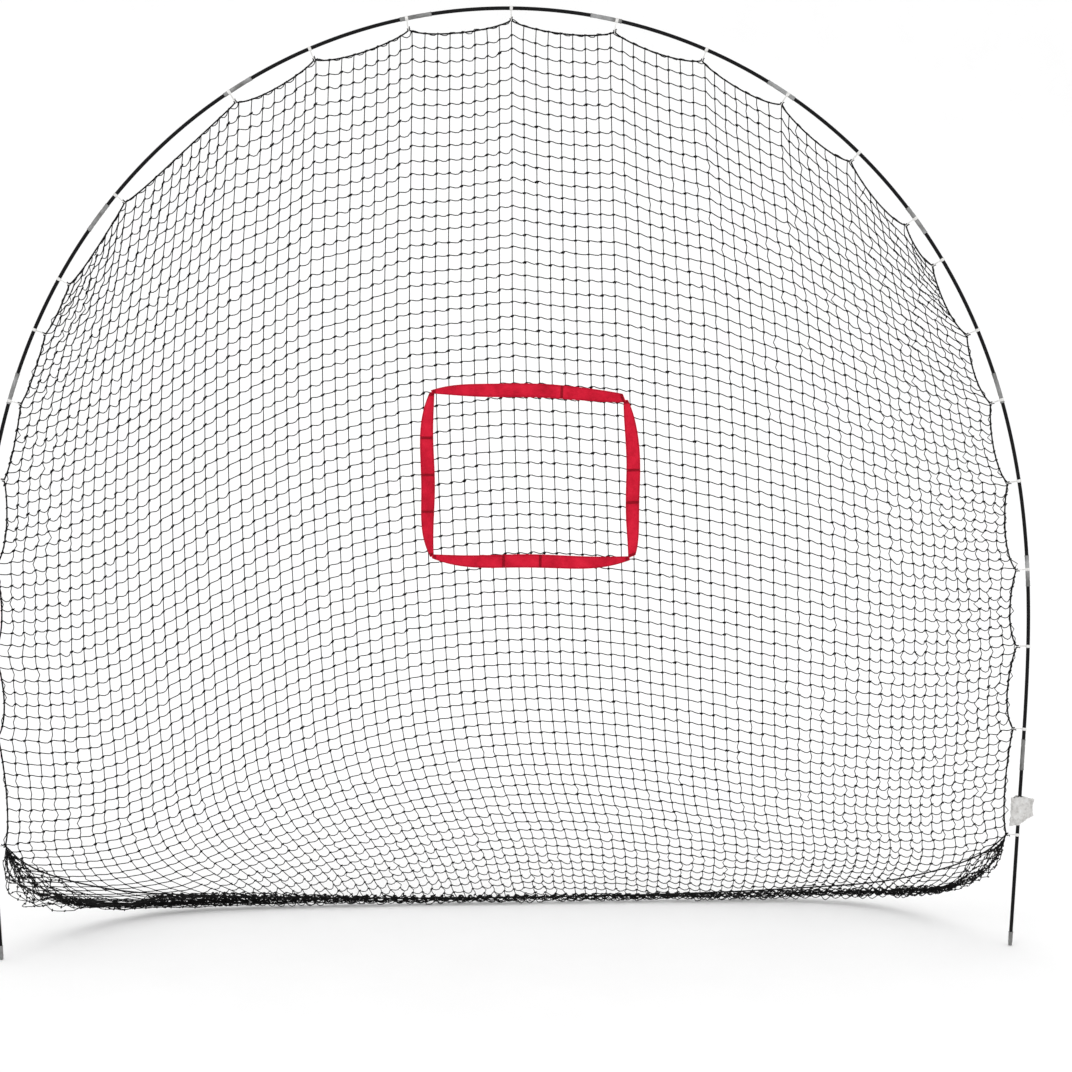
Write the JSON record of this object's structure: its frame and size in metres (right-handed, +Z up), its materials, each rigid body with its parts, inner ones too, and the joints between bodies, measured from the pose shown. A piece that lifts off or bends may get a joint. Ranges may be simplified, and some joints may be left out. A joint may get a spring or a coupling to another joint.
{
  "type": "pitching target net",
  "caption": "Tall freestanding hoop of socketed poles with a laced-in ball net, a strap target in the middle and the hem trailing on the ground behind.",
  "frame": {"origin": "on the ground, at the middle of the footprint between the hoop's feet in front and the net's hem behind", "axes": "+Z up; the pitcher stands at -Y and faces +Y; +X to the pitcher's right. The hoop stands in the plane y = -0.277 m"},
  "size_m": [2.5618, 0.5851, 2.2872],
  "materials": {
    "fibreglass": "smooth black pultruded fibreglass, slightly scuffed",
    "steel": "dull zinc-plated steel",
    "tie_elastic": "white braided elastic",
    "rope": "black twisted polyester rope",
    "net_twine": "black knotted nylon twine",
    "target_webbing": "woven crimson webbing with stitching",
    "label_film": "blank crumpled white film",
    "shock_cord": "black braided elastic cord"
  },
  "bodies": {
    "hoop": {"crown_pole": "fibreglass", "right_pole_1": "fibreglass", "right_pole_2": "fibreglass", "right_pole_3": "fibreglass", "right_pole_4": "fibreglass", "right_pole_5": "fibreglass", "right_ferrule_1": "steel", "right_ferrule_2": "steel", "right_ferrule_3": "steel", "right_ferrule_4": "steel", "right_ferrule_5": "steel", "right_ferrule_6": "steel", "left_pole_1": "fibreglass", "left_pole_2": "fibreglass", "left_pole_3": "fibreglass", "left_pole_4": "fibreglass", "left_pole_5": "fibreglass", "left_ferrule_1": "steel", "left_ferrule_2": "steel", "left_ferrule_3": "steel", "left_ferrule_4": "steel", "left_ferrule_5": "steel", "left_ferrule_6": "steel", "shock_cord": "shock_cord", "top_tie": "tie_elastic", "right_tie_1": "tie_elastic", "right_tie_2": "tie_elastic", "right_tie_3": "tie_elastic", "right_tie_4": "tie_elastic", "right_tie_5": "tie_elastic", "right_tie_6": "tie_elastic", "right_tie_7": "tie_elastic", "right_tie_8": "tie_elastic", "right_tie_9": "tie_elastic", "right_tie_10": "tie_elastic", "right_tie_11": "tie_elastic", "right_tie_12": "tie_elastic", "right_tie_13": "tie_elastic", "left_tie_1": "tie_elastic", "left_tie_2": "tie_elastic", "left_tie_3": "tie_elastic", "left_tie_4": "tie_elastic", "left_tie_5": "tie_elastic", "left_tie_6": "tie_elastic", "left_tie_7": "tie_elastic", "left_tie_8": "tie_elastic", "left_tie_9": "tie_elastic", "left_tie_10": "tie_elastic", "left_tie_11": "tie_elastic", "left_tie_12": "tie_elastic", "border_rope": "rope", "bottom_rope": "rope", "netting": "net_twine", "target_strap": "target_webbing"},
    "right_leg": {"right_leg_pole": "fibreglass", "right_foot_tip": "steel"},
    "left_leg": {"left_leg_pole": "fibreglass", "left_foot_tip": "steel"},
    "leg_label": {"leg_label": "label_film"}
  },
  "joints": [
    {"name": "right_leg_pull", "type": "slide", "parent": "hoop", "child": "right_leg", "axis": [-0.0492, 0, -0.9988], "range_m": [0, 0.06]},
    {"name": "left_leg_pull", "type": "slide", "parent": "hoop", "child": "left_leg", "axis": [0.0492, 0, -0.9988], "range_m": [0, 0.06]},
    {"name": "label_turn", "type": "hinge", "parent": "hoop", "child": "leg_label", "pos_m": [1.25231, -0.2773, 0.33859], "axis": [-0.0492, 0, -0.9988], "range_deg": [-75, 75]}
  ]
}
